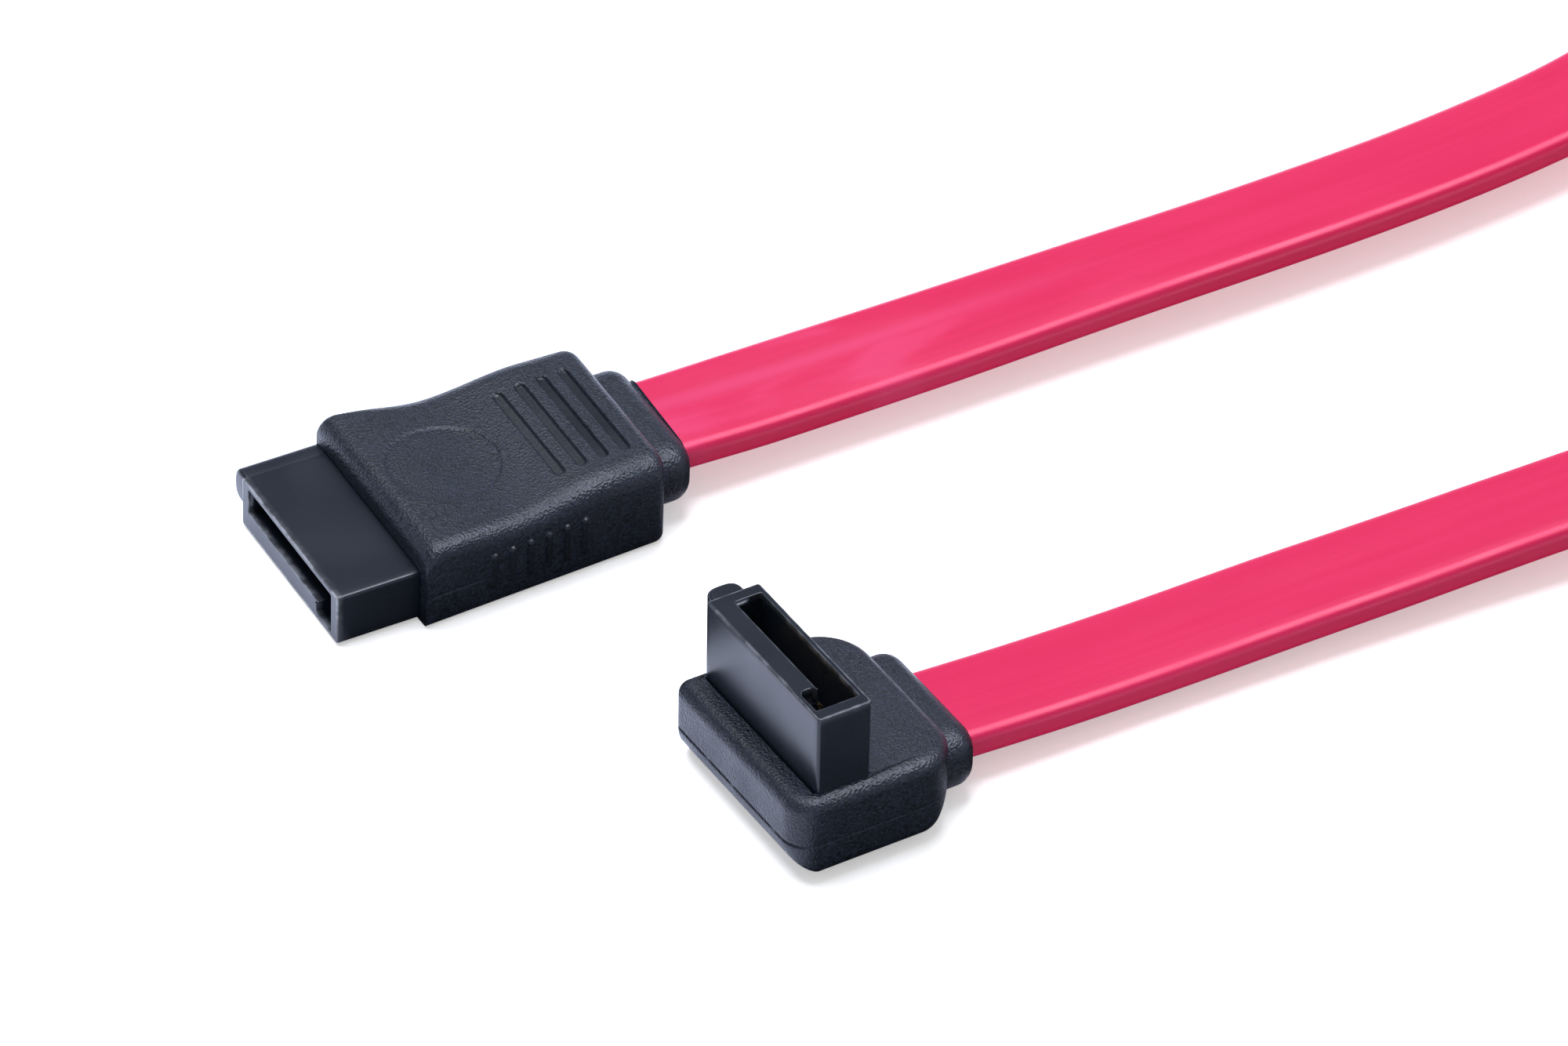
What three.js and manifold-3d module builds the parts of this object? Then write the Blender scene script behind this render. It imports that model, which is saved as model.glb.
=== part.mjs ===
// Flat data cable with one straight and one right-angled seven-contact plug.
// Millimetres, +Z up. The cable and both plugs lie on the plane z = 0. +X runs from the
// plugs along the ribbon and +Y from the right-angled plug towards the straight one.
// The origin is on that plane, under the middle of the box round the two plugs.

import * as THREE from 'three';
import { mergeVertices } from 'three/addons/utils/BufferGeometryUtils.js';
import Module from 'manifold-3d';

const wasm = await Module();
wasm.setup();

// Where the two plugs lie
const straightX = -15.4;        // mouth of the straight plug
const straightY = 16.9;         // its middle line
const angledX = 1.65;           // bar side of the right-angled plug's nose
const angledY = -17.15;         // its middle line
const angledTurn = 2.0;         // degrees that it is turned about +Z
const angledRoll = 2.1;         // degrees that the ribbon's twist lifts its near side

// Mating nose, the same on both plugs: a block with an L-shaped mouth
const noseWidth = 14.1;
const noseThick = 4.0;
const noseReach = 6.1;          // how far the straight plug's stands out of its overmould
const angledReach = 6.4;        // and the right-angled plug's
const noseRoot = 2.4;           // how deep it sits inside the overmould
const noseCorner = 0.25;
const mouthWall = 0.42;         // wall over the long slot
const barThick = 1.6;           // bar under the long slot
const endWall = 0.95;           // walls at both ends of the slot
const keyWidth = 2.15;          // short leg of the L
const keyFloor = 0.4;           // wall under the short leg
const slotDepth = 5.6;
const straightRibRadius = 1.35; // round guide rib on the end away from the key
const straightRibOut = 0.9;     // how far it stands out of that end
const straightRibDrop = 1.35;   // its middle line below the mouth wall's outer face
const straightRibSetback = 0.3; // its round end lies this far behind the mouth
const angledRibRadius = 1.2;
const angledRibOut = 1.1;
const angledRibDrop = 2.6;      // it ends level with the mouth

// Spring contacts
const contactCount = 7;
const contactPitch = 1.27;
const contactWidth = 0.6;
const contactThick = 0.2;
const contactSetback = 1.3;     // tips lie this far behind the mouth
const contactRise = 0.75;       // crown of the spring above the bar
const contactTail = 2.2;        // solder tail behind the nose
const contactGap = 0.15;        // clearance of a contact in its groove
const springTip = 0.5;          // length of the dipped tip
const springCrown = 0.8;        // length of the crown, which presses on the mating pad
const springRoot = 0.8;         // where the beam leaves its groove, in front of the slot's end

// Overmoulds
const seatGap = 0.15;           // clearance of a nose in its overmould
const bodyOverhang = 1.05;      // overmould beyond each end of the nose, at its front
const bodyTaper = 0.85;         // each flank draws in by this towards the rear
const bodyLength = 18.7;        // straight plug, behind its shoulder
const bodyNoseLift = 0.1;       // nose above the underside
const bodyFrontHeight = 6.3;
const bodyWaistHeight = 6.15;
const bodyRearHeight = 6.95;
const landLength = 2.6;         // level front land, behind the shoulder
const waistAt = 7.2;            // lowest place of the top
const crestLength = 4.1;        // level raised rear
const bodyEdge = 1.8;           // rounding of the long top edges, at the rear
const bodyFrontEdge = 1.1;      // and at the shoulder
const bodyFootEdge = 0.35;
const shoulderRound = 1.5;      // front top edge
const rearRound = 1.1;          // rear edges
const bootWidth = 11.5;
const bootLength = 2.8;
const bootHeight = 4.8;
const bootLift = 0.7;
const bootEdge = 1.6;            // its rear edges
const bootCorner = 1.9;
const bootRoot = 1.5;           // how deep it reaches into the overmould
const ribCount = 6;             // upright grip ribs on each flank
const ribPitch = 1.39;
const ribFirst = 5.2;
const ribRadius = 0.3;
const ribOut = 0.22;
const ribFoot = 1.4;
const ribHead = 4.6;
const barCount = 4;             // sunk grip bars across the rear of the top
const barPitch = 1.64;
const barSetback = 2.1;         // last bar's middle line in front of the rear face
const barLength = 9.0;
const barWidth = 1.1;
const barDepth = 0.3;
const dishAt = 5.4;             // plain round thumb rest, sunk in the waist
const dishRadius = 4.0;
const dishDepth = 0.12;
const baseFront = 1.9;          // angled plug: base in front of the nose
const baseOverhang = 0.8;
const baseLength = 12.7;
const baseHeight = 5.85;
const baseTopEdge = 1.1;
const baseFootEdge = 2.3;       // under its front and rear
const baseSideFoot = 1.2;       // under its sides
const baseCorner = 1.3;
const baseFarCorner = 3.8;      // the large corner at the rear, away from the key
const baseNearCorner = 2.8;
const angledBootDrop = 0.6;     // its collar sits lower than the straight plug's

// Ribbon
const ribbonWidth = 8.0;
const ribbonThick = 2.4;
const ribbonEdge = 1.0;
const cordGap = 0.3;
const coilX = 130;
const coilY = -0.5;
const coilRadius = 27;
const coilFoot = 1.0;           // underside of the coil above the plane
const coilLevels = 2;
const levelGap = 0.4;
const coilSides = 64;
const tieThick = 0.6;
const tieWidth = 5;
const tieCorner = 0.8;
const ribbonSteps = 32;

// Points of the ribbon's middle line, each with its roll in degrees:
// 0 lies flat, 90 stands on edge
const straightRun = [
  [12.5, 16.9, 3.4, 3],
  [18, 16.9, 3.3, 5],
  [25, 16.95, 3.25, 5],
  [33, 17.0, 3.25, 4],
  [41, 17.15, 3.25, 2],
  [49, 17.25, 3.3, 0],
  [57, 17.35, 3.3, -1],
  [65, 17.55, 3.3, -1],
  [73, 17.95, 3.3, -1],
  [81, 18.7, 3.3, -1],
  [88, 19.6, 3.4, 0],
  [95, 20.7, 3.7, 16],
  [102, 22.0, 4.4, 54],
  [108, 23.1, 4.9, 82],
  [113, 23.95, 5.0, 90],
];
const angledRun = [
  [112.5, -24.55, 13.4, 90],
  [105.5, -23.1, 12.3, 80],
  [98, -21.5, 10.2, 48],
  [90.5, -20.0, 7.7, 18],
  [83, -18.9, 5.6, 6],
  [75.5, -18.0, 4.2, 4],
  [68, -17.45, 3.4, 4],
  [59, -17.0, 2.85, 4],
  [50, -16.8, 2.5, 3],
  [42, -16.7, 2.35, 2],
  [34, -16.7, 2.2, 2],
  [27, -16.75, 2.2, 2],
  [21, -16.8, 2.35, 2],
  [15.5, -16.8, 2.55, 2],
];

const noseMaterial = new THREE.MeshStandardMaterial({ color: 0x23272f, roughness: 0.42, metalness: 0 });
const bodyMaterial = new THREE.MeshStandardMaterial({ color: 0x2b303a, roughness: 0.62, metalness: 0 });
const contactMaterial = new THREE.MeshStandardMaterial({ color: 0xd8b25a, roughness: 0.3, metalness: 1 });
const ribbonMaterial = new THREE.MeshStandardMaterial({ color: 0xee3f6c, roughness: 0.45, metalness: 0 });
const tieMaterial = new THREE.MeshStandardMaterial({ color: 0x1c1e22, roughness: 0.6, metalness: 0 });

// Closed mesh to solid and back, for cuts and joins
function toSolid(geometry) {
  const bare = geometry.clone();
  bare.deleteAttribute('normal');
  bare.deleteAttribute('uv');
  const merged = mergeVertices(bare, 1e-5);
  return new wasm.Manifold(new wasm.Mesh({
    numProp: 3,
    vertProperties: new Float32Array(merged.attributes.position.array),
    triVerts: new Uint32Array(merged.index.array),
  }));
}

function toGeometry(solid) {
  const mesh = solid.getMesh();
  const geometry = new THREE.BufferGeometry();
  geometry.setAttribute('position', new THREE.BufferAttribute(new Float32Array(mesh.vertProperties), 3));
  geometry.setIndex(new THREE.BufferAttribute(new Uint32Array(mesh.triVerts), 1));
  geometry.computeVertexNormals();
  return geometry;
}

function box(x0, x1, y0, y1, z0, z1) {
  const geometry = new THREE.BoxGeometry(x1 - x0, y1 - y0, z1 - z0);
  geometry.translate((x0 + x1) / 2, (y0 + y1) / 2, (z0 + z1) / 2);
  return toSolid(geometry);
}

// Outline in a plane with its own radius at each corner, in the order
// low-low, high-low, high-high, low-high. Insets shrink it in both directions.
function roundedOutline(a0, a1, b0, b1, radii, inset = 0, steps = 5, insetB = inset) {
  const corners = [
    [a0, b0, 1, 1, Math.PI],
    [a1, b0, -1, 1, 1.5 * Math.PI],
    [a1, b1, -1, -1, 0],
    [a0, b1, 1, -1, 0.5 * Math.PI],
  ];
  const points = [];
  corners.forEach(([a, b, da, db, from], i) => {
    const radius = Math.max(radii[i] - Math.max(inset, insetB), 0.05);
    const ca = a + da * (inset + radius);
    const cb = b + db * (insetB + radius);
    for (let k = 0; k <= steps; k += 1) {
      const angle = from + (k / steps) * 0.5 * Math.PI;
      points.push([ca + radius * Math.cos(angle), cb + radius * Math.sin(angle)]);
    }
  });
  return points;
}

// Solid through a row of rings that all have as many points, closed by a fan at each end
function loft(rings) {
  const count = rings[0].length;
  const positions = rings.flat(2);
  const index = [];
  for (let r = 0; r < rings.length - 1; r += 1) {
    for (let k = 0; k < count; k += 1) {
      const a = r * count + k;
      const b = r * count + ((k + 1) % count);
      index.push(a, b, b + count, a, b + count, a + count);
    }
  }
  const last = (rings.length - 1) * count;
  for (let k = 1; k < count - 1; k += 1) {
    index.push(0, k + 1, k, last, last + k, last + k + 1);
  }
  const geometry = new THREE.BufferGeometry();
  geometry.setAttribute('position', new THREE.Float32BufferAttribute(positions, 3));
  geometry.setIndex(index);
  return toSolid(geometry);
}

// Quarter-round steps for an edge: how far along the edge's depth, and how much it is inset
function edgeSteps(radius, steps) {
  return Array.from({ length: steps + 1 }, (_, k) => {
    const angle = (k / steps) * 0.5 * Math.PI;
    return [radius * (1 - Math.cos(angle)), radius * (1 - Math.sin(angle))];
  });
}

// How far a rounded foot of this radius is drawn in at a height above its underside
function footInset(radius, height) {
  const below = Math.max(radius - height, 0);
  return radius - Math.sqrt(radius * radius - below * below);
}

// Solid of a plan outline between two heights, with a rounded top edge and a rounded foot
// that has its own radius under the ends and under the sides
function pebble(x0, x1, y0, y1, radii, z0, z1, endFoot, sideFoot, topEdge) {
  const foot = edgeSteps(Math.max(endFoot, sideFoot), 6).map(([height]) =>
    [z0 + height, footInset(endFoot, height), footInset(sideFoot, height)]);
  const top = edgeSteps(topEdge, 3).reverse().map(([depth, inset]) => [z1 - depth, inset, inset]);
  return loft([...foot, ...top].map(([z, insetX, insetY]) =>
    roundedOutline(x0, x1, y0, y1, radii, insetX, 5, insetY).map(([x, y]) => [x, y, z])));
}

// Extruded outline given in the (y, z) plane, running along +X from x0
function alongX(points, x0, length) {
  const shape = new THREE.Shape(points.map(([y, z]) => new THREE.Vector2(y, z)));
  const geometry = new THREE.ExtrudeGeometry(shape, { depth: length, bevelEnabled: false });
  geometry.applyMatrix4(new THREE.Matrix4().set(0, 0, 1, x0, 1, 0, 0, 0, 0, 1, 0, 0, 0, 0, 0, 1));
  return toSolid(geometry);
}

const contactY = Array.from({ length: contactCount }, (_, i) => (i - (contactCount - 1) / 2) * contactPitch);
const grooveHeight = contactThick + 2 * contactGap;

const straightRib = {
  radius: straightRibRadius, out: straightRibOut, drop: straightRibDrop, setback: straightRibSetback,
};
const angledRib = { radius: angledRibRadius, out: angledRibOut, drop: angledRibDrop, setback: 0 };

// Rod of a guide rib between two distances behind the mouth
function guideRod(rib, x0, x1) {
  const rod = new THREE.CylinderGeometry(rib.radius, rib.radius, x1 - x0, 20);
  rod.rotateZ(Math.PI / 2);
  rod.translate((x0 + x1) / 2, noseWidth / 2 + rib.out - rib.radius, noseThick - rib.drop);
  return toSolid(rod);
}

// Insulator block. Mouth at x = 0, root towards +X, underside at z = 0, key leg at -Y
function nose(reach, rib) {
  const half = noseWidth / 2;
  const length = reach + noseRoot;
  const corner = [noseCorner, noseCorner, noseCorner, noseCorner];
  let block = alongX(roundedOutline(-half, half, 0, noseThick, corner, 0, 2), 0, length);
  block = block.subtract(guideRod(rib, -1, rib.setback));
  block = block.add(guideRod(rib, rib.setback, reach - seatGap));
  const keyEnd = -half + endWall;
  block = block.subtract(alongX([
    [keyEnd, keyFloor],
    [keyEnd + keyWidth, keyFloor],
    [keyEnd + keyWidth, barThick],
    [half - endWall, barThick],
    [half - endWall, noseThick - mouthWall],
    [keyEnd, noseThick - mouthWall],
  ], -1, slotDepth + 1));
  const grooveHalf = contactWidth / 2 + contactGap;
  for (const y of contactY) {
    block = block.subtract(box(contactSetback - contactGap, length + 1, y - grooveHalf, y + grooveHalf,
      barThick - grooveHeight, barThick));
  }
  return toGeometry(block);
}

// Spring contact: a tail and a flat root that pass through the block's rear wall, a beam
// that crowns over the bar, and a tip that dips back into the groove
function contact(reach) {
  const low = barThick - grooveHeight + contactGap;
  const crown = barThick + contactRise - contactThick;
  const nipAt = contactSetback + springTip;
  const rootAt = slotDepth - springRoot;
  const line = new THREE.CatmullRomCurve3([
    new THREE.Vector3(contactSetback, 0, low + contactThick / 2),
    new THREE.Vector3(nipAt, 0, crown - contactThick),
    new THREE.Vector3(nipAt + springCrown / 2, 0, crown),
    new THREE.Vector3(nipAt + springCrown, 0, crown),
    new THREE.Vector3(rootAt, 0, low + contactThick / 2),
    new THREE.Vector3(slotDepth, 0, low),
  ]).getPoints(15);
  line.push(new THREE.Vector3(reach + noseRoot + contactTail, 0, low));
  const shape = new THREE.Shape([
    ...line.map((p) => new THREE.Vector2(p.x, p.z)),
    ...line.slice().reverse().map((p) => new THREE.Vector2(p.x, p.z + contactThick)),
  ]);
  const geometry = new THREE.ExtrudeGeometry(shape, { depth: contactWidth, bevelEnabled: false });
  geometry.rotateX(Math.PI / 2);
  geometry.translate(0, contactWidth / 2, 0);
  return geometry;
}

// Hollow that holds the nose's root and, behind it, the solder tails. Open at x = 0
function noseSocket() {
  const half = noseWidth / 2 + seatGap;
  const tailHalf = contactY[contactCount - 1] + contactWidth / 2 + 2 * contactGap;
  const seat = box(-1, noseRoot + seatGap, -half, half, -seatGap, noseThick + seatGap);
  const tails = box(noseRoot, noseRoot + contactTail + 2 * contactGap, -tailHalf, tailHalf,
    barThick - grooveHeight - contactGap, barThick + contactGap);
  return seat.add(tails);
}

// Collar that the ribbon leaves by, on an overmould's rear face
function boot(x, lift) {
  const rear = edgeSteps(bootEdge, 4).reverse().map(([depth, inset]) => [x + bootLength - depth, inset]);
  const corners = [bootCorner, bootCorner, bootCorner, bootCorner];
  const half = bootWidth / 2;
  return loft([[x - bootRoot, 0], ...rear].map(([at, inset]) =>
    roundedOutline(-half, half, lift, lift + bootHeight, corners, inset).map(([y, z]) => [at, y, z])));
}

// Height of the straight plug's top at a distance behind its shoulder: a level front land,
// a shallow waist and a raised rear, joined by smooth steps
function topHeight(x) {
  const dip = THREE.MathUtils.smoothstep(x, landLength, waistAt);
  const climb = THREE.MathUtils.smoothstep(x, waistAt, bodyLength - crestLength);
  return bodyFrontHeight - (bodyFrontHeight - bodyWaistHeight) * dip
    + (bodyRearHeight - bodyWaistHeight) * climb;
}

// Rounding of its long top edges, which grows towards the rear
function topEdge(x) {
  return bodyFrontEdge + (bodyEdge - bodyFrontEdge) * (x / bodyLength);
}

// Half the straight overmould's width at a distance behind its shoulder
function bodyHalfWidth(x) {
  return noseWidth / 2 + bodyOverhang - bodyTaper * (x / bodyLength);
}

function straightOvermould() {
  const front = edgeSteps(shoulderRound, 5).map(([x, drop]) => [x, 0, drop]);
  const middle = Array.from({ length: 15 }, (_, i) => [
    shoulderRound + ((i + 1) / 16) * (bodyLength - shoulderRound - rearRound), 0, 0]);
  const rear = edgeSteps(rearRound, 4).reverse().map(([d, inset]) => [bodyLength - d, inset, 0]);
  let body = loft([...front, ...middle, ...rear].map(([x, inset, drop]) => {
    const radii = [bodyFootEdge, bodyFootEdge, topEdge(x), topEdge(x)];
    const half = bodyHalfWidth(x);
    return roundedOutline(-half, half, 0, topHeight(x) - drop, radii, inset).map(([y, z]) => [x, y, z]);
  }));
  body = body.add(boot(bodyLength, bootLift));
  for (let i = 0; i < ribCount; i += 1) {
    const x = ribFirst + i * ribPitch;
    for (const side of [-1, 1]) {
      const rib = new THREE.CylinderGeometry(ribRadius, ribRadius, ribHead - ribFoot, 12);
      rib.rotateX(Math.PI / 2);
      rib.translate(x, side * (bodyHalfWidth(x) + ribOut - ribRadius), (ribHead + ribFoot) / 2);
      body = body.add(toSolid(rib));
    }
  }
  for (let i = 0; i < barCount; i += 1) {
    const x = bodyLength - barSetback - i * barPitch;
    const z = topHeight(x) - barDepth;
    const round = barWidth / 2;
    const ends = [round, round, round, round];
    const outline = roundedOutline(x - round, x + round, -barLength / 2, barLength / 2, ends);
    body = body.subtract(loft([z, bodyRearHeight + 1].map((level) => outline.map(([a, b]) => [a, b, level]))));
  }
  const dish = new THREE.CylinderGeometry(dishRadius, dishRadius, 1, 48);
  dish.rotateX(Math.PI / 2);
  dish.translate(dishAt, 0, topHeight(dishAt) - dishDepth + 0.5);
  body = body.subtract(toSolid(dish));
  return toGeometry(body.subtract(noseSocket().translate([0, 0, bodyNoseLift])));
}

// Base of the right-angled plug. The nose stands on it, mouth up, its bar side towards -X
function angledOvermould() {
  const half = noseWidth / 2 + baseOverhang;
  const end = baseLength - baseFront;
  let base = pebble(-baseFront, end, -half, half, [baseCorner, baseNearCorner, baseFarCorner, baseCorner],
    0, baseHeight, baseFootEdge, baseSideFoot, baseTopEdge);
  base = base.add(boot(end, bootLift - angledBootDrop));
  const socket = noseSocket().rotate([0, 90, 0]).translate([0, 0, baseHeight]);
  return toGeometry(base.subtract(socket));
}

// Curve that carries a roll angle with each of its points, so that a flat section twists along it
class RolledCurve extends THREE.CatmullRomCurve3 {
  constructor(points) {
    super(points.map(([x, y, z]) => new THREE.Vector3(x, y, z)), false, 'centripetal');
    this.rolls = points.map((point) => THREE.MathUtils.degToRad(point[3]));
  }

  computeFrenetFrames(segments) {
    const frames = { tangents: [], normals: [], binormals: [] };
    for (let i = 0; i <= segments; i += 1) {
      const t = this.getUtoTmapping(i / segments) * (this.rolls.length - 1);
      const before = Math.min(Math.floor(t), this.rolls.length - 2);
      const roll = THREE.MathUtils.lerp(this.rolls[before], this.rolls[before + 1], t - before);
      const tangent = this.getTangentAt(i / segments);
      const across = new THREE.Vector3(-tangent.y, tangent.x, 0).normalize();
      const normal = across.applyAxisAngle(tangent, roll);
      frames.tangents.push(tangent);
      frames.normals.push(normal);
      frames.binormals.push(new THREE.Vector3().crossVectors(tangent, normal));
    }
    return frames;
  }
}

function ribbonRun(points) {
  const edge = [ribbonEdge, ribbonEdge, ribbonEdge, ribbonEdge];
  const section = roundedOutline(-ribbonWidth / 2, ribbonWidth / 2, -ribbonThick / 2, ribbonThick / 2, edge, 0, 2);
  const shape = new THREE.Shape(section.map(([a, b]) => new THREE.Vector2(a, b)));
  return new THREE.ExtrudeGeometry(shape, { steps: ribbonSteps, extrudePath: new RolledCurve(points) });
}

const coilHeight = coilLevels * ribbonWidth + (coilLevels - 1) * levelGap;

// Closed profile turned about the coil's upright axis
function ribbonCoil() {
  const inner = coilRadius - ribbonThick / 2;
  const outer = coilRadius + ribbonThick / 2;
  const top = coilFoot + coilHeight;
  const profile = [[inner, coilFoot], [outer, coilFoot], [outer, top], [inner, top], [inner, coilFoot]]
    .map(([r, z]) => new THREE.Vector2(r, z));
  const geometry = new THREE.LatheGeometry(profile, coilSides);
  geometry.rotateX(Math.PI / 2);
  geometry.translate(coilX, coilY, 0);
  return geometry;
}

// Strap round both levels of the coil, on its far side from the plugs
function coilTie() {
  const low = coilFoot - cordGap - tieThick;
  const high = coilFoot + coilHeight + cordGap + tieThick;
  const half = ribbonThick / 2 + cordGap + tieThick;
  const around = [tieCorner, tieCorner, tieCorner, tieCorner];
  const outside = roundedOutline(-half, half, low, high, around, 0, 4);
  const inside = roundedOutline(-half, half, low, high, around, tieThick, 4);
  const shape = new THREE.Shape(outside.map(([a, b]) => new THREE.Vector2(a, b)));
  shape.holes.push(new THREE.Path(inside.map(([a, b]) => new THREE.Vector2(a, b))));
  const geometry = new THREE.ExtrudeGeometry(shape, { depth: tieWidth, bevelEnabled: false });
  geometry.rotateX(Math.PI / 2);
  geometry.translate(coilX + coilRadius, coilY + tieWidth / 2, 0);
  return geometry;
}

function named(name, geometry, material) {
  const mesh = new THREE.Mesh(geometry, material);
  mesh.name = name;
  return mesh;
}

// Nose with its contacts, in the nose's own frame
function noseGroup(prefix, reach, rib) {
  const group = new THREE.Group();
  group.add(named(`${prefix}_nose`, nose(reach, rib), noseMaterial));
  contactY.forEach((y, i) => {
    const spring = named(`${prefix}_contact_${i + 1}`, contact(reach), contactMaterial);
    spring.position.y = y;
    group.add(spring);
  });
  return group;
}

function straightPlug() {
  const plug = new THREE.Group();
  const tip = noseGroup('straight', noseReach, straightRib);
  tip.position.z = bodyNoseLift;
  const body = named('straight_overmould', straightOvermould(), bodyMaterial);
  body.position.x = noseReach;
  plug.add(tip, body);
  plug.position.set(straightX, straightY, 0);
  return plug;
}

function angledPlug() {
  const plug = new THREE.Group();
  const tip = noseGroup('angled', angledReach, angledRib);
  tip.rotation.y = Math.PI / 2;
  tip.position.z = baseHeight + angledReach;
  plug.add(tip, named('angled_overmould', angledOvermould(), bodyMaterial));
  const roll = THREE.MathUtils.degToRad(angledRoll);
  plug.position.set(angledX, angledY, 0);
  plug.rotation.set(-roll, 0, THREE.MathUtils.degToRad(angledTurn));
  plug.position.z = -new THREE.Box3().setFromObject(plug, true).min.z;
  return plug;
}

const cable = new THREE.Group();
cable.add(
  straightPlug(),
  angledPlug(),
  named('ribbon_straight_side', ribbonRun(straightRun), ribbonMaterial),
  named('ribbon_angled_side', ribbonRun(angledRun), ribbonMaterial),
  named('ribbon_coil', ribbonCoil(), ribbonMaterial),
  named('coil_tie', coilTie(), tieMaterial),
);

export default cable;
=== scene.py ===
# Flat data cable with a straight and a right-angled plug, lying on a plain white table.
import math

import bpy
import numpy as np
from mathutils import Matrix, Vector


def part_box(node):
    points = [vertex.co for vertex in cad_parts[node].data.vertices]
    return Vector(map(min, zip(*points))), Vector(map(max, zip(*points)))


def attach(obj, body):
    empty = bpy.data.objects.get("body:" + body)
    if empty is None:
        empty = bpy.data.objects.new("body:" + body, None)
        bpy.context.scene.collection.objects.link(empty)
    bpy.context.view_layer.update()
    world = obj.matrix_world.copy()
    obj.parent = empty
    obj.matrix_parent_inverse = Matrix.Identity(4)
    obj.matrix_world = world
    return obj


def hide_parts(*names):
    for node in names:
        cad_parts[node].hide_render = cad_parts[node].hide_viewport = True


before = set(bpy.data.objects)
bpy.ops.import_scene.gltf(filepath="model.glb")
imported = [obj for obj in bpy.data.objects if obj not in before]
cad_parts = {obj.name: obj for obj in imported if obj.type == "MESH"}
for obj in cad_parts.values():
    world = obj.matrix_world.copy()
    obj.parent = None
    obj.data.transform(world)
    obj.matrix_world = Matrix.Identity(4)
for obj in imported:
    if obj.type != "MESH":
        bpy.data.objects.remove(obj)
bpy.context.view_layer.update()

mm = 0.001
scene = bpy.context.scene


# Camera: its place and angles were worked out from the corners of both plugs in the photograph
cameraSetup = {
    "place": (-229.83 * mm, -411.9 * mm, 406.07 * mm),
    "azimuth": 30.49,     # degrees from +Y towards +X
    "elevation": 39.83,
    "roll": 2.39,
    "lens": 216.0,
    "sensor": 36.0,
}


def makeCamera():
    data = bpy.data.cameras.new("camera")
    data.lens = cameraSetup["lens"]
    data.sensor_width = cameraSetup["sensor"]
    data.clip_start = 10 * mm
    camera = bpy.data.objects.new("camera", data)
    scene.collection.objects.link(camera)
    turn = Matrix.Rotation(-math.radians(cameraSetup["azimuth"]), 4, "Z")
    tilt = Matrix.Rotation(math.radians(90 - cameraSetup["elevation"]), 4, "X")
    roll = Matrix.Rotation(math.radians(cameraSetup["roll"]), 4, "Z")
    camera.matrix_world = Matrix.Translation(cameraSetup["place"]) @ turn @ tilt @ roll
    scene.camera = camera


# Shared shapes: a piece is a row of rings that all have as many points

# Eases from 0 to 1: three squares of t less two cubes
def smoothStep(t):
    t = np.clip(t, 0, 1)
    return t * t * (3 - 2 * t)


# Quarter round of an edge: share of its radius gone along the piece, and share of it drawn in
def quarterRound(steps):
    angle = np.linspace(0, math.pi / 2, steps)
    return 1 - np.cos(angle), 1 - np.sin(angle)


# Rounded rectangles, one a row: straight sides sampled evenly, and a quarter circle at each
# corner. The order is low-low, high-low, high-high, low-high, and inset shrinks them all round.
def roundedRings(a0, a1, b0, b1, radii, inset=0.0, sides=(20, 8, 20, 8), arc=6):
    a0, a1, b0, b1, inset = (np.atleast_1d(v).astype(float) for v in (a0, a1, b0, b1, inset))
    rows = max(len(v) for v in (a0, a1, b0, b1, inset, np.atleast_2d(radii)))
    a0, a1, b0, b1, inset = (np.broadcast_to(v, rows)[:, None] for v in (a0, a1, b0, b1, inset))
    radii = np.maximum(np.broadcast_to(np.atleast_2d(radii), (rows, 4)) - inset, 0.02 * mm)
    corners = ((a0, b0, 1, 1, 2), (a1, b0, -1, 1, 3), (a1, b1, -1, -1, 0), (a0, b1, 1, -1, 1))
    arcs = []
    for i, (a, b, da, db, quarter) in enumerate(corners):
        radius = radii[:, i:i + 1]
        angle = (quarter + np.linspace(0, 1, arc))[None, :] * math.pi / 2
        arcs.append(np.stack([a + da * (inset + radius) + radius * np.cos(angle),
                              b + db * (inset + radius) + radius * np.sin(angle)], axis=-1))
    parts = []
    for i in range(4):
        start, end = arcs[i][:, -1:], arcs[(i + 1) % 4][:, :1]
        share = (np.arange(1, sides[i] + 1) / (sides[i] + 1))[None, :, None]
        parts += [arcs[i], start + (end - start) * share]
    return np.concatenate(parts, axis=1)


# Mesh through the rings, closed round and capped at both ends, with its faces pointing out
def meshFromRings(name, rings, cap=True, creaseAngle=40, attributes=None):
    rows, count = rings.shape[:2]
    k = np.arange(count)
    after = (k + 1) % count
    low = (np.arange(rows - 1) * count)[:, None]
    quads = np.stack([low + k, low + after, low + count + after, low + count + k], axis=-1)
    quads = quads.reshape(-1, 4)
    corner = rings.reshape(-1, 3)[quads]
    middle = corner.mean(axis=1) - corner.mean(axis=(0, 1))
    facing = np.cross(corner[:, 2] - corner[:, 0], corner[:, 3] - corner[:, 1])
    inward = (middle * facing).sum() < 0
    faces = quads.tolist()
    if cap:
        faces += [k[::-1].tolist(), ((rows - 1) * count + k).tolist()]
    if inward:
        faces = [face[::-1] for face in faces]
    mesh = bpy.data.meshes.new(name)
    mesh.from_pydata(rings.reshape(-1, 3), [], faces)
    for key, values in (attributes or {}).items():
        attribute = mesh.attributes.new(key, "FLOAT", "POINT")
        attribute.data.foreach_set("value", values.astype(np.float32).ravel())
    return finishMesh(name, mesh, creaseAngle)


def finishMesh(name, mesh, creaseAngle):
    mesh.polygons.foreach_set("use_smooth", np.ones(len(mesh.polygons), bool))
    mesh.set_sharp_from_angle(angle=math.radians(creaseAngle))
    piece = bpy.data.objects.new(name, mesh)
    scene.collection.objects.link(piece)
    return piece


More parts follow.
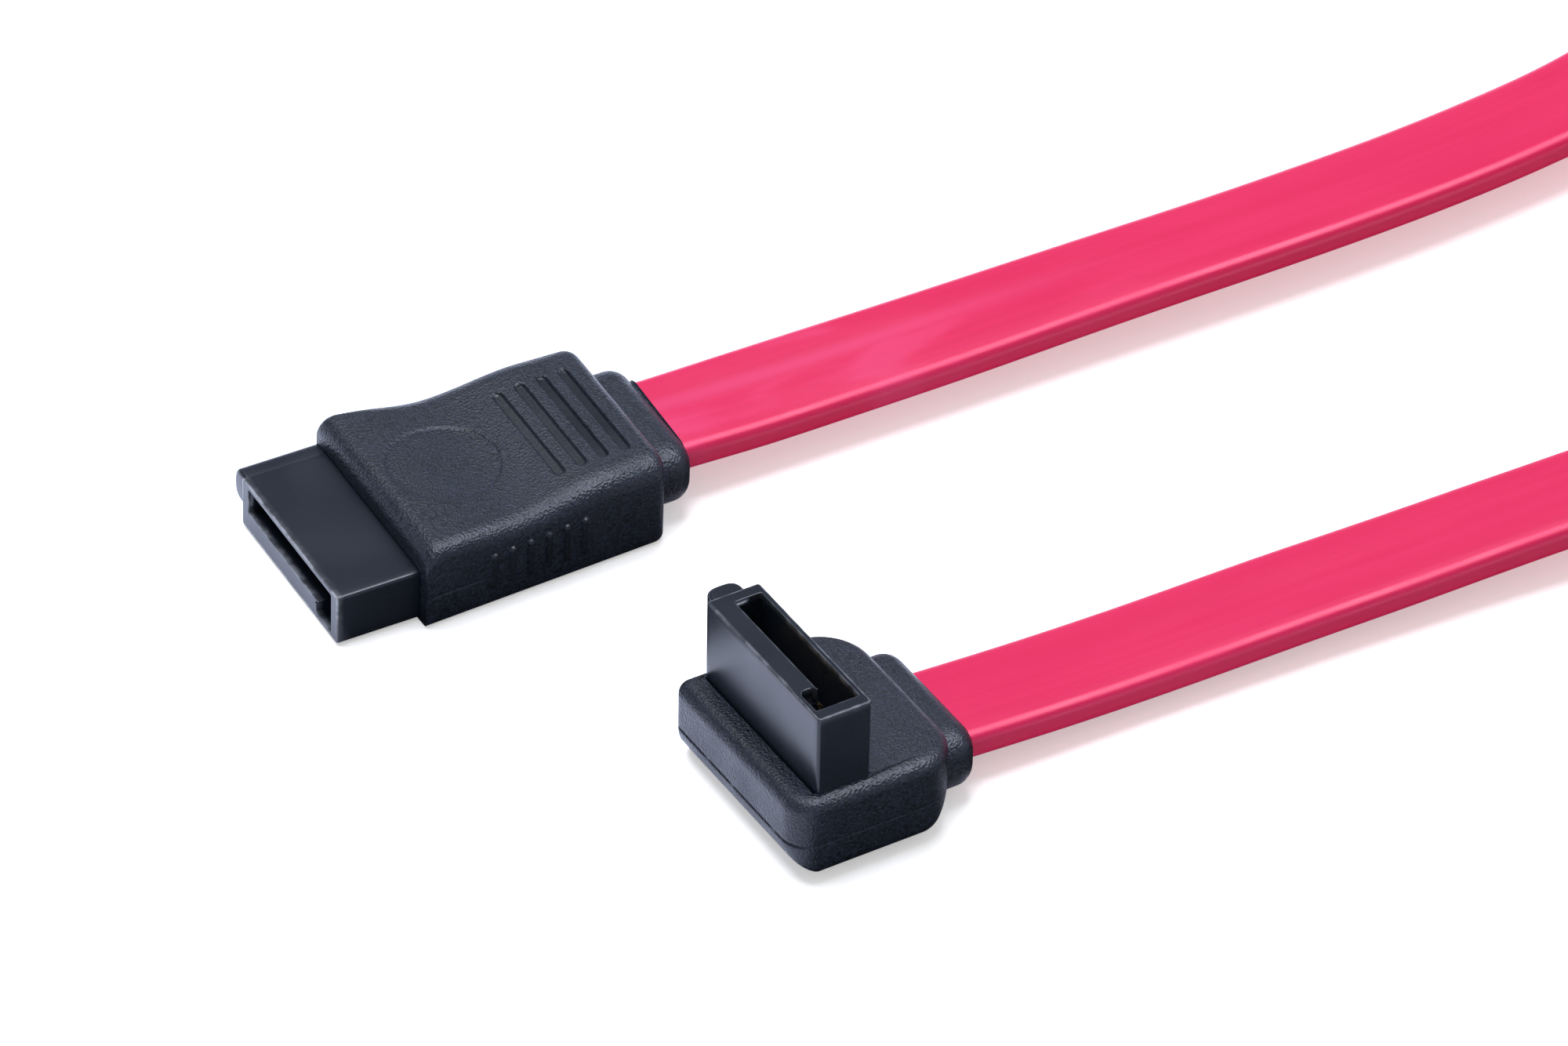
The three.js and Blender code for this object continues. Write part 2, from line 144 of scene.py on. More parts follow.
# Joins pieces into the first one
def joined(name, pieces):
    bpy.ops.object.select_all(action="DESELECT")
    for piece in pieces:
        piece.select_set(True)
    bpy.context.view_layer.objects.active = pieces[0]
    bpy.ops.object.join()
    pieces[0].name = name
    return pieces[0]


# Plug frames: where each plug's own origin lies, and how it is turned
straightPlace = Matrix.Translation((-15.4 * mm, 16.9 * mm, 0))
angledPlace = (Matrix.Translation((1.65 * mm, -17.15 * mm, 0.2525 * mm))
               @ Matrix.Rotation(math.radians(-2.1), 4, "X") @ Matrix.Rotation(math.radians(2.0), 4, "Z"))


def placed(piece, place):
    piece.data.transform(place)
    return piece


# Ribbon: its middle line in millimetres, each point with its roll in degrees (0 flat, 90 on edge)
ribbon = {
    "width": 8.0 * mm,
    "thick": 2.4 * mm,
    "corner": 0.95 * mm,
    "crown": 0.05 * mm,       # two low swells lengthwise, over its two wire pairs
    "step": 0.8 * mm,
    "tuck": 1.6 * mm,       # how far each end reaches into its collar
    "straightRun": [
        (12.5, 16.9, 3.4, 3), (18, 16.9, 3.3, 5), (25, 16.95, 3.25, 5), (33, 17.0, 3.25, 4),
        (41, 17.15, 3.25, 2), (49, 17.25, 3.3, 0), (57, 17.35, 3.3, -1), (65, 17.55, 3.3, -1),
        (73, 17.95, 3.3, -1), (81, 18.7, 3.3, -1), (88, 19.6, 3.4, 0), (95, 20.7, 3.7, 16),
        (102, 22.0, 4.4, 54), (108, 23.1, 4.9, 82), (113, 23.95, 5.0, 90),
    ],
    "coilCentre": (130, -0.5),
    "coilRadius": 27,
    "coilLevels": (5.0, 13.4),
    "coilAngles": (-12.5, 552.4),   # from +Y, clockwise seen from above
    "riseAngles": (206, 346),
    "pointsPerTurn": 24,
    "angledRun": [
        (112.5, -24.55, 13.4, 90), (105.5, -23.1, 12.3, 80), (98, -21.5, 10.2, 48), (90.5, -20.0, 7.7, 18),
        (83, -18.9, 5.6, 6), (75.5, -18.0, 4.2, 4), (68, -17.45, 3.4, 4), (59, -17.0, 2.85, 4),
        (50, -16.8, 2.5, 3), (42, -16.7, 2.35, 2), (34, -16.7, 2.2, 2), (27, -16.75, 2.2, 2),
        (21, -16.8, 2.35, 2), (15.5, -16.8, 2.55, 2),
    ],
}


# Turns of the coil: a circle walked clockwise that climbs from the lower level to the upper one
def coilPoints():
    first, last = ribbon["coilAngles"]
    count = round((last - first) / 360 * ribbon["pointsPerTurn"])
    degrees = np.linspace(first, last, count)
    angle = np.radians(degrees)
    riseFrom, riseTo = ribbon["riseAngles"]
    low, high = ribbon["coilLevels"]
    x, y = ribbon["coilCentre"]
    return np.stack([x + ribbon["coilRadius"] * np.sin(angle), y + ribbon["coilRadius"] * np.cos(angle),
                     low + (high - low) * smoothStep((degrees - riseFrom) / (riseTo - riseFrom)),
                     np.full(count, 90.0)], axis=-1)


# Natural cubic spline through the points, by chord length: the second derivatives solve the
# usual three-term equations, and each stretch blends its two ends with them
def naturalSpline(points, share):
    chord = np.linalg.norm(np.diff(points[:, :3], axis=0), axis=1)
    knots = np.concatenate([[0], np.cumsum(chord)])
    count = len(points)
    system = np.eye(count)
    right = np.zeros_like(points)
    inner = np.arange(1, count - 1)
    system[inner, inner - 1] = chord[:-1]
    system[inner, inner] = 2 * (chord[:-1] + chord[1:])
    system[inner, inner + 1] = chord[1:]
    slope = np.diff(points, axis=0) / chord[:, None]
    right[1:-1] = 6 * np.diff(slope, axis=0)
    bend = np.linalg.solve(system, right)
    at = share * knots[-1]
    i = np.clip(np.searchsorted(knots, at, side="right") - 1, 0, count - 2)
    h = chord[i][:, None]
    u = (at - knots[i])[:, None]
    v = h - u
    return ((bend[i] * v ** 3 + bend[i + 1] * u ** 3) / (6 * h)
            + (points[i] / h - bend[i] * h / 6) * v + (points[i + 1] / h - bend[i + 1] * h / 6) * u)


# Middle line of the whole ribbon at even steps: place in metres, and roll in radians
def ribbonLine():
    points = np.concatenate([ribbon["straightRun"], coilPoints(), ribbon["angledRun"]])
    points[:, :3] *= mm
    firstStep = points[0] - points[1]
    lastStep = points[-1] - points[-2]
    firstStep[:3] *= ribbon["tuck"] / np.linalg.norm(firstStep[:3])
    lastStep[:3] *= ribbon["tuck"] / np.linalg.norm(lastStep[:3])
    points = np.concatenate([[points[0] + firstStep * [1, 1, 1, 0]], points,
                             [points[-1] + lastStep * [1, 1, 1, 0]]])
    dense = naturalSpline(points, np.linspace(0, 1, 6000))
    run = np.concatenate([[0], np.cumsum(np.linalg.norm(np.diff(dense[:, :3], axis=0), axis=1))])
    even = np.linspace(0, run[-1], round(run[-1] / ribbon["step"]) + 1)
    line = np.stack([np.interp(even, run, dense[:, i]) for i in range(4)], axis=-1)
    return line[:, :3], np.radians(line[:, 3]), even


# Section carried along the middle line: across is level and square to the line, turned by the
# roll about the line, and up is square to both
def makeRibbon():
    line, roll, run = ribbonLine()
    along = np.gradient(line, axis=0)
    along /= np.linalg.norm(along, axis=1)[:, None]
    level = np.stack([-along[:, 1], along[:, 0], np.zeros(len(line))], axis=-1)
    level /= np.linalg.norm(level, axis=1)[:, None]
    rise = np.cross(along, level)
    across = level * np.cos(roll)[:, None] + rise * np.sin(roll)[:, None]
    up = np.cross(along, across)
    halfWidth, halfThick = ribbon["width"] / 2, ribbon["thick"] / 2
    section = roundedRings(-halfWidth, halfWidth, -halfThick, halfThick, [ribbon["corner"]] * 4,
                           sides=(24, 4, 24, 4), arc=8)[0]
    swell = np.clip(1 - np.abs(np.abs(section[:, 0]) / halfWidth - 0.5) / 0.5, 0, 1)
    crown = ribbon["crown"] * smoothStep(swell)
    section[:, 1] += np.sign(section[:, 1]) * crown
    rings = (line[:, None, :] + section[None, :, 0, None] * across[:, None, :]
             + section[None, :, 1, None] * up[:, None, :])
    shape = rings.shape[:2]
    piece = meshFromRings("ribbon", rings, attributes={
        "alongRibbon": np.broadcast_to(run[:, None], shape),
        "acrossRibbon": np.broadcast_to(section[:, 0][None, :], shape),
    })
    piece.data.materials.append(ribbonMaterial())
    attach(piece, "root")
    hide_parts("ribbon_straight_side", "ribbon_angled_side", "ribbon_coil")
    print("ribbon: length", round(float(run[-1]), 4))
    return piece, line, float(run[-1])


# Mating nose, mouth at x = 0 and root towards +X, key leg at -Y
nose = {
    "width": 14.1 * mm,
    "thick": 4.0 * mm,
    "root": 2.4 * mm,          # how deep it sits in its grip
    "corner": 0.25 * mm,
    "lip": 0.13 * mm,          # rounded front edge
    "mouthWall": 0.42 * mm,
    "bar": 1.6 * mm,
    "endWall": 0.95 * mm,
    "keyWidth": 2.15 * mm,
    "keyFloor": 0.4 * mm,
    "slotDepth": 5.6 * mm,
    "slotCorner": 0.1 * mm,
    "contacts": 7,
    "pitch": 1.27 * mm,
    "grooveWidth": 0.9 * mm,
    "grooveDepth": 0.5 * mm,
    "grooveFrom": 1.15 * mm,
    "ribPower": 3.2,           # the guide rib is a squarish round
    "ribSoft": 0.3 * mm,
    "ribShort": 0.1 * mm,      # how far it ends before the block does
    "keyStep": 1.0 * mm,       # stretch of the underside that faces the step of the key leg
    "straight": {
        "reach": 6.1 * mm,     # from the grip to the mouth
        "radius": 1.25 * mm,   # of its guide rib
        "out": 1.4 * mm,
        "drop": 1.27 * mm,
        "setback": 0.12 * mm,
        "wearAndHighlight": 1.4,           # how pale its lips are: scuffs, and a painted highlight along them
    },
    "angled": {
        "reach": 6.15 * mm,
        "radius": 1.25 * mm,
        "out": 1.2 * mm,
        "drop": 2.3 * mm,
        "setback": 0.05 * mm,
        "wearAndHighlight": 0.45,
    },
}


# Points of an arc about a centre, with its angles in degrees
def arcPoints(centre, radius, start, end, count):
    angle = np.radians(np.linspace(start, end, count))
    return np.stack([centre[0] + radius * np.cos(angle), centre[1] + radius * np.sin(angle)], axis=-1)


# Points between two ends at even steps, without the ends
def linePoints(start, end, count):
    share = ((np.arange(count) + 1) / (count + 1))[:, None]
    return np.array(start) + (np.array(end) - np.array(start)) * share


# Guide rib on the far end: a squarish round carried along it, round at its front
def makeRib(rib):
    turn = np.linspace(0, 2 * math.pi, 48, endpoint=False)
    across, up = (np.sign(f(turn)) * np.abs(f(turn)) ** (2 / nose["ribPower"]) for f in (np.cos, np.sin))
    gone, drawn = quarterRound(8)
    soft = nose["ribSoft"]
    x = np.concatenate([rib["setback"] + soft * gone, [rib["reach"] + nose["root"] - nose["ribShort"]]])
    radius = rib["radius"] - np.concatenate([soft * drawn, [0]])
    y = nose["width"] / 2 + rib["out"] - rib["radius"]
    z = nose["thick"] - rib["drop"]
    rings = np.stack([np.broadcast_to(x[:, None], (len(x), len(turn))), y + radius[:, None] * across,
                      z + radius[:, None] * up], axis=-1)
    return meshFromRings("rib", rings, attributes={"edge": np.zeros(rings.shape[:2])})


# Outline of the block and of its L-shaped mouth, paired point by point, so that the flat rim
# between them is one strip. The third outline is the mouth with the contacts' grooves sunk.
def noseOutlines():
    half, thick, c = nose["width"] / 2, nose["thick"], nose["corner"]
    s, step = nose["slotCorner"], nose["keyStep"]
    keyEnd, slotEnd = nose["endWall"] - half, half - nose["endWall"]
    keyInner = keyEnd + nose["keyWidth"]
    low, bar, top = nose["keyFloor"], nose["bar"], thick - nose["mouthWall"]
    contactY = (np.arange(nose["contacts"]) - (nose["contacts"] - 1) / 2) * nose["pitch"]
    grooveHalf = nose["grooveWidth"] / 2
    grooveWalls = np.array([-1, -0.999, 0.999, 1])     # nearly upright
    grooveY = (contactY[:, None] + grooveWalls * grooveHalf).ravel()
    grooves = np.stack([grooveY, np.full(len(grooveY), bar)], axis=-1)
    sunk = np.tile([0, 1, 1, 0], nose["contacts"]) * nose["grooveDepth"]
    slotFar = np.concatenate([arcPoints((slotEnd - s, bar + s), s, 270, 360, 6),
                              linePoints((slotEnd, bar + s), (slotEnd, top - s), 36),
                              arcPoints((slotEnd - s, top - s), s, 0, 90, 6)])
    outerFar = np.concatenate([arcPoints((half - c, c), c, 270, 360, 6),
                               linePoints((half, c), (half, thick - c), 36),
                               arcPoints((half - c, thick - c), c, 0, 90, 6)])
    pairs = [
        (arcPoints((c - half, c), c, 180, 270, 6), arcPoints((keyEnd + s, low + s), s, 180, 270, 6)),
        (linePoints((c - half, 0), (keyInner, 0), 5), linePoints((keyEnd + s, low), (keyInner, low), 5)),
        (linePoints((keyInner, 0), (keyInner + step, 0), 4),
         linePoints((keyInner, low), (keyInner, bar), 4)),
        (linePoints((keyInner + step, 0), (half - c, 0), len(grooveY)), grooves),
        (outerFar, slotFar),
        (linePoints((half - c, thick), (c - half, thick), 30),
         linePoints((slotEnd - s, top), (keyEnd + s, top), 30)),
        (arcPoints((c - half, thick - c), c, 90, 180, 6),
         arcPoints((keyEnd + s, top - s), s, 90, 180, 6)),
        (linePoints((-half, thick - c), (-half, c), 8),
         linePoints((keyEnd, top - s), (keyEnd, low + s), 8)),
    ]
    outer = np.concatenate([pair[0] for pair in pairs])
    inner = np.concatenate([pair[1] for pair in pairs])
    deep = inner.copy()
    at = sum(len(pair[0]) for pair in pairs[:3])
    deep[at:at + len(grooveY), 1] -= sunk
    return outer, inner, deep


# Outline moved square to itself, outwards where amount is above zero
def offsetOutline(outline, amount):
    run = np.roll(outline, -1, axis=0) - np.roll(outline, 1, axis=0)
    run /= np.maximum(np.linalg.norm(run, axis=1), 1e-9)[:, None]
    return outline + amount * np.stack([run[:, 1], -run[:, 0]], axis=-1)


# Rows from the root to the mouth, across the flat rim, and down the mouth's walls
def makeNose(name, cadNode, place, rib):
    outer, inner, deep = noseOutlines()
    lip = nose["lip"]
    mouthLip = lip / 2
    gone, drawn = quarterRound(6)
    rows = [(x, outer, 0) for x in np.linspace(rib["reach"] + nose["root"], 4 * lip, 12)]
    # The lips' rounding carries the edge value: pale scuffs and a painted highlight along it
    rows += [(lip * g, offsetOutline(outer, -lip * d), e)
             for g, d, e in zip(gone[::-1], drawn[::-1], (0.15, 0.4, 0.8, 1, 1, 0.9))]
    rimOut, rimIn = offsetOutline(outer, -lip), offsetOutline(inner, mouthLip)
    rows += [(0, rimOut + (rimIn - rimOut) * share, 0) for share in np.linspace(0.1, 0.95, 8)]
    rows += [(mouthLip * (1 - math.sin(a)), offsetOutline(inner, mouthLip * (1 - math.cos(a))), 0.6)
             for a in np.linspace(math.pi / 2, 0, 4)]
    rows += [(4 * lip, inner, 0), (nose["grooveFrom"], inner, 0), (nose["grooveFrom"], deep, 0),
             (nose["slotDepth"], deep, 0)]
    rings = np.stack([np.column_stack([np.full(len(o), x), o]) for x, o, _ in rows])
    edge = np.stack([np.full(len(outer), e * rib["wearAndHighlight"]) for _, _, e in rows])
    block = meshFromRings(name, rings, creaseAngle=32, attributes={"edge": edge})
    piece = placed(joined(name, [block, makeRib(rib)]), place)
    piece.data.materials.append(noseMaterial())
    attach(piece, "root")
    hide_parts(cadNode)
    return piece


# Collar behind a plug, with the slot that the ribbon leaves by
collar = {
    "width": 11.5 * mm,
    "height": 4.8 * mm,
    "lift": 0.7 * mm,
    "corner": 1.9 * mm,
    "edge": 1.5 * mm,
    "root": 1.5 * mm,
    "slotGap": 0.06 * mm,
    "slotRim": 0.12 * mm,
    "slotDepth": 0.9 * mm,
}


# x is the plug's rear face; slotZ and roll say where the ribbon comes out
def makeCollar(x, length, drop, slotY, slotZ, roll):
    half = collar["width"] / 2
    low = collar["lift"] - drop
    gone, drawn = quarterRound(9)
    end = x + length
    wallX = np.linspace(x - collar["root"], end - collar["edge"], 10)[:-1]
    at = np.concatenate([wallX, end - collar["edge"] * gone[::-1]])
    inset = np.concatenate([np.zeros(9), collar["edge"] * drawn[::-1]])
    counts = {"sides": (24, 8, 24, 8), "arc": 8}
    outlines = roundedRings(-half, half, low, low + collar["height"], [collar["corner"]] * 4, inset,
                            **counts)
    rings = np.concatenate([np.broadcast_to(at[:, None, None], outlines.shape[:2] + (1,)), outlines],
                           axis=-1)
    gap = collar["slotGap"]
    slotHalf, slotThick = ribbon["width"] / 2 + gap, ribbon["thick"] / 2 + gap
    slot = roundedRings(-slotHalf, slotHalf, -slotThick, slotThick, [ribbon["corner"]] * 4,
                        **counts)[0]
    c, s = math.cos(roll), math.sin(roll)
    slot = slot @ np.array([[c, s], [-s, c]]) + (slotY, slotZ)
    rim = offsetOutline(slot, collar["slotRim"])
    inwards = [(end, rim), (end - collar["slotRim"], slot), (end - collar["slotDepth"], slot)]
    extra = np.stack([np.column_stack([np.full(len(o), e), o]) for e, o in inwards])
    return meshFromRings("collar", np.concatenate([rings, extra]), attributes={
        "smooth": np.zeros((len(rings) + len(extra), rings.shape[1]))})


# Straight plug's grip, shoulder at x = 0
straightGrip = {
    "halfWidth": 8.1 * mm,
    "taper": 0.85 * mm,
    "length": 18.7 * mm,
    "frontHeight": 6.36 * mm,
    "waistHeight": 6.16 * mm,
    "rearHeight": 7.0 * mm,
    "landLength": 2.6 * mm,
    "waistAt": 7.2 * mm,
    "crestLength": 4.1 * mm,
    "frontEdge": 1.0 * mm,      # rounding of the long top edges, which grows towards the rear
    "rearTopEdge": 1.8 * mm,
    "farFrontEdge": 0.5 * mm,
    "footEdge": 0.35 * mm,
    "shoulder": 1.3 * mm,
    "rearEdge": 1.0 * mm,
    "noseLift": 0.1 * mm,
    "collarLength": 3.0 * mm,
    "seatGap": 0.07 * mm,
    "seatDepth": 2.0 * mm,
    "ribs": 6,
    "ribPitch": 1.39 * mm,
    "ribFirst": 5.2 * mm,
    "ribHalfWidth": 0.26 * mm,
    "ribOut": 0.26 * mm,
    "ribFoot": 1.7 * mm,
    "ribHead": 4.05 * mm,       # of the first, and each next one stands a little taller
    "ribClimb": 0.06 * mm,
    "bars": 4,
    "barPitch": 1.64 * mm,
    "barSetback": 2.1 * mm,
    "barLength": 9.6 * mm,
    "barMiddle": -0.3 * mm,
    "barWidth": 0.82 * mm,
    "barDepth": 0.18 * mm,
    "barWall": 0.14 * mm,
    "seamHeight": 2.4 * mm,     # fine parting line on the near flank
    "seamReach": 5.4 * mm,
    "seamFade": 2.0 * mm,
    "seamWidth": 0.07 * mm,
    "seamDepth": 0.06 * mm,
    "dishAt": 5.4 * mm,         # plain round thumb rest
    "dishRadius": 4.0 * mm,
    "dishDepth": 0.1 * mm,
    "dishWall": 0.22 * mm,
    "seatRim": 0.08 * mm,
    "fineStep": 0.075 * mm,     # between the rings where the ribs and the bars are
}


# Height of the grip's back: level in front, eased down to the waist and up to the crest
def gripTop(x):
    g = straightGrip
    front, waist, rear = g["frontHeight"], g["waistHeight"], g["rearHeight"]
    dip = smoothStep((x - g["landLength"]) / (g["waistAt"] - g["landLength"]))
    climb = smoothStep((x - g["waistAt"]) / (g["length"] - g["crestLength"] - g["waistAt"]))
    return front - (front - waist) * dip + (rear - waist) * climb


# Distance to a stretch of line between two ends on the same axis, seen in a plane
def capsuleDistance(a, b, a0, b0, b1):
    return np.hypot(a - a0, b - np.clip(b, b0, b1))


# Rounded rectangles along x under that height, drawn in at both ends. Points inside a bar, the
# thumb rest or the seam then sink, and points inside a rib stand out by a round profile.
def makeStraightGrip():
    g = straightGrip
    half, taper, length = g["halfWidth"], g["taper"], g["length"]
    gone, drawn = quarterRound(14)
    dense = np.arange(g["ribFirst"] - 3 * g["ribHalfWidth"], length - g["rearEdge"], g["fineStep"])
    x = np.concatenate([g["shoulder"] * gone, np.linspace(g["shoulder"], dense[0], 24)[1:-1], dense,
                        length - g["rearEdge"] * gone[::-1]])
    none = np.zeros(len(x) - len(gone))
    drop = np.concatenate([g["shoulder"] * drawn, none])
    inset = np.concatenate([none, g["rearEdge"] * drawn[::-1]])
    halfWidth = half - taper * x / length
    topEdge = g["frontEdge"] + (g["rearTopEdge"] - g["frontEdge"]) * x / length
    farEdge = g["farFrontEdge"] + (g["rearTopEdge"] - g["farFrontEdge"]) * smoothStep(x / g["waistAt"])
    foot = np.full(len(x), g["footEdge"])
    radii = np.stack([foot, foot, farEdge, topEdge], axis=-1)
    sides = (60, 90, 120, 90)
    arc = 12
    outline = roundedRings(-halfWidth, halfWidth, 0, gripTop(x) - drop, radii, inset, sides, arc)
    rings = np.concatenate([np.broadcast_to(x[:, None, None], outline.shape[:2] + (1,)), outline], axis=-1)
    smooth = np.zeros(rings.shape[:2])

    # Sunk bars and the thumb rest, on the flat of the top
    top = slice(3 * arc + sides[0] + sides[1], 3 * arc + sum(sides[:3]))
    px, py = rings[:, top, 0], rings[:, top, 1]
    for i in range(g["bars"]):
        barX = length - g["barSetback"] - i * g["barPitch"]
        reach = g["barLength"] / 2 - g["barWidth"] / 2
        away = capsuleDistance(px, py, barX, g["barMiddle"] - reach, g["barMiddle"] + reach)
        inside = smoothStep((g["barWidth"] / 2 - away) / g["barWall"])
        rings[:, top, 2] -= g["barDepth"] * inside
        smooth[:, top] = np.maximum(smooth[:, top], inside)
    away = np.hypot(px - g["dishAt"], py)
    rings[:, top, 2] -= g["dishDepth"] * smoothStep((g["dishRadius"] - away) / g["dishWall"])

    # Raised upright ribs on both flanks
    flank = np.abs(rings[:, :, 1]) > (halfWidth - topEdge)[:, None]
    for i in range(g["ribs"]):
        ribX = g["ribFirst"] + i * g["ribPitch"]
        head = g["ribHead"] + i * g["ribClimb"]
        away = capsuleDistance(rings[:, :, 0], rings[:, :, 2], ribX, g["ribFoot"], head)
        rise = np.sqrt(np.clip(1 - (away / g["ribHalfWidth"]) ** 2, 0, 1)) * flank
        rings[:, :, 1] += np.sign(rings[:, :, 1]) * g["ribOut"] * rise
        smooth = np.maximum(smooth, rise)
    seam = np.exp(-((rings[:, :, 2] - g["seamHeight"]) / g["seamWidth"]) ** 2)
    seam *= (rings[:, :, 1] < 0) * flank * (rings[:, :, 0] > 0.1 * mm)
    seam *= smoothStep((g["seamReach"] - rings[:, :, 0]) / g["seamFade"])
    rings[:, :, 1] += g["seamDepth"] * seam

    # Front face and the seat of the nose inside it
    gap = g["seatGap"]
    seatHalf = nose["width"] / 2 + gap
    seatLow, seatHigh = g["noseLift"] - gap, g["noseLift"] + nose["thick"] + gap
    seat, rim = (roundedRings(-seatHalf, seatHalf, seatLow, seatHigh, [nose["corner"]] * 4, inset,
                              sides, arc)[0] for inset in (0, -g["seatRim"]))
    rows = [(g["seatDepth"], seat), (g["seatRim"], seat), (0, rim)]
    front = np.stack([np.column_stack([np.full(len(o), at), o]) for at, o in rows])
    smooth = np.concatenate([np.zeros(front.shape[:2]), smooth])
    body = meshFromRings("straight_grip", np.concatenate([front, rings]), attributes={"smooth": smooth})
    exitHeight, exitRoll = ribbon["straightRun"][0][2:]
    back = makeCollar(length, g["collarLength"], 0, 0, exitHeight * mm, math.radians(exitRoll))
    behindNose = Matrix.Translation((nose["straight"]["reach"], 0, 0))
    return finishPlug(joined("straight_grip", [body, back]), behindNose, straightPlace,
                      "straight_overmould")


def finishPlug(piece, inner, place, cadNode):
    placed(piece, place @ inner)
    piece.data.materials.append(gripMaterial())
    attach(piece, "root")
    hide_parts(cadNode)
    return piece


# Right-angled plug's base: the nose stands on it, mouth up
angledBase = {
    "front": -1.97 * mm,
    "rear": 10.8 * mm,
    "halfWidth": 7.85 * mm,
    "height": 6.1 * mm,
    "corners": (1.9 * mm, 3.1 * mm, 3.8 * mm, 1.0 * mm),
    "topEdge": 1.0 * mm,
    "endFoot": 2.5 * mm,        # rounding under its front and rear
    "sideFoot": 0.7 * mm,
    "collarDrop": 0.6 * mm,
    "collarLength": 2.55 * mm,
    "slitHeight": 2.5 * mm,
    "slitDepth": 0.12 * mm,
    "slitWidth": 0.08 * mm,
    "slitFine": 0.03 * mm,      # between the rings there
    "slitFront": 1.2 * mm,      # how far round from the front it is deep, and then fades
    "slitFade": 1.0 * mm,
    "slitBreaks": (-4.9 * mm, 0.3 * mm, 3.4 * mm),
    "breakWidth": 0.22 * mm,
    "seatGap": 0.07 * mm,
    "seatDepth": 2.0 * mm,
    "seatRim": 0.08 * mm,
}


# Quarter round of this radius: how far it is drawn in at a height above the underside
def footInset(radius, height):
    return radius - np.sqrt(radius ** 2 - np.clip(radius - height, 0, radius) ** 2)


# Rounded rectangles from the top down, drawn in for the top edge and by the feet's rounding, and
# pressed in at the slit by a bell-shaped groove
def makeAngledBase():
    b = angledBase
    half = b["halfWidth"]
    gone, drawn = quarterRound(14)
    fineTop, fineLow = b["slitHeight"] + 4 * b["slitWidth"], b["slitHeight"] - 4 * b["slitWidth"]
    z = np.concatenate([b["height"] - b["topEdge"] * gone,
                        np.linspace(b["height"] - b["topEdge"], fineTop, 16)[1:-1],
                        np.arange(fineTop, fineLow, -b["slitFine"]), fineLow * gone[::-1]])
    shoulder = np.concatenate([b["topEdge"] * drawn, np.zeros(len(z) - len(drawn))])
    endIn = shoulder + footInset(b["endFoot"], z)
    sideIn = shoulder + footInset(b["sideFoot"], z)
    radii = np.array(b["corners"]) - np.maximum(endIn, sideIn)[:, None]
    sides, arc = (60, 60, 60, 70), 14
    plan = roundedRings(b["front"] + endIn, b["rear"] - endIn, sideIn - half, half - sideIn, radii, 0,
                        sides, arc)
    slit = np.exp(-((z - b["slitHeight"]) / b["slitWidth"]) ** 2) * b["slitDepth"]
    front = smoothStep((b["front"] + b["slitFront"] - plan[:, :, 0]) / b["slitFade"])
    gapAt = [np.exp(-((plan[:, :, 1] - y) / b["breakWidth"]) ** 2) for y in b["slitBreaks"]]
    unbroken = np.prod([1 - gap for gap in gapAt], axis=0)
    depth = slit[:, None] * (0.25 + 0.75 * front * unbroken)
    plan = np.stack([offsetOutline(p, -d[:, None]) for p, d in zip(plan, depth)])
    rings = np.concatenate([plan, np.broadcast_to(z[:, None, None], plan.shape[:2] + (1,))], axis=-1)
    gap = b["seatGap"]
    seat = roundedRings(-gap, nose["thick"] + gap, -nose["width"] / 2 - gap, nose["width"] / 2 + gap,
                        [nose["corner"]] * 4, 0, sides, arc)[0]
    rim = offsetOutline(seat, b["seatRim"])
    rows = [(b["height"] - b["seatDepth"], seat), (b["height"] - b["seatRim"], seat), (b["height"], rim)]
    top = np.stack([np.column_stack([o, np.full(len(o), at)]) for at, o in rows])
    smooth = np.zeros((len(top) + len(rings), rings.shape[1]))
    body = meshFromRings("angled_grip", np.concatenate([top, rings]), attributes={"smooth": smooth})
    exitAt = angledPlace.inverted() @ (Vector(ribbon["angledRun"][-1][:3]) * mm)
    back = makeCollar(b["rear"], b["collarLength"], b["collarDrop"], exitAt.y, exitAt.z, 0)
    return finishPlug(joined("angled_grip", [body, back]), Matrix.Identity(4), angledPlace,
                      "angled_overmould")


# Strap that holds the coil
strap = {
    "middle": (157.0 * mm, -0.5 * mm),
    "halfAcross": 2.0 * mm,
    "low": 0.12 * mm,
    "high": 18.2 * mm,
    "corner": 1.2 * mm,
    "thick": 0.55 * mm,
    "width": 5.0 * mm,
    "bevel": 0.12 * mm,
}


# A flat section carried round a rounded loop, and closed on itself
def makeStrap():
    t = strap
    x, y = t["middle"]
    loop = roundedRings(-t["halfAcross"], t["halfAcross"], t["low"], t["high"], [t["corner"]] * 4,
                        sides=(6, 40, 6, 40), arc=8)[0]
    inside = offsetOutline(loop, -t["thick"])
    half, bevel = t["width"] / 2, t["bevel"]
    slope = bevel / t["thick"]
    profile = [(0, bevel - half), (slope, -half), (1, -half), (1, half), (slope, half), (0, half - bevel)]
    rows = []
    for share, across in profile:
        outline = loop + (inside - loop) * share
        rows.append(np.column_stack([x + outline[:, 0], np.full(len(outline), y + across), outline[:, 1]]))
    rows.append(rows[0])
    piece = meshFromRings("coil_strap", np.stack(rows), cap=False)
    piece.data.materials.append(strapMaterial())
    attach(piece, "root")
    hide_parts("coil_tie")
    return piece


# Materials
def newMaterial(name, finish):
    material = bpy.data.materials.new(name)
    material.use_nodes = True
    shader = material.node_tree.nodes["Principled BSDF"]
    shader.inputs["Base Color"].default_value = (*finish["colour"], 1)
    shader.inputs["Roughness"].default_value = finish["roughness"]
    shader.inputs["Specular IOR Level"].default_value = finish["specular"]
    return material, material.node_tree, shader


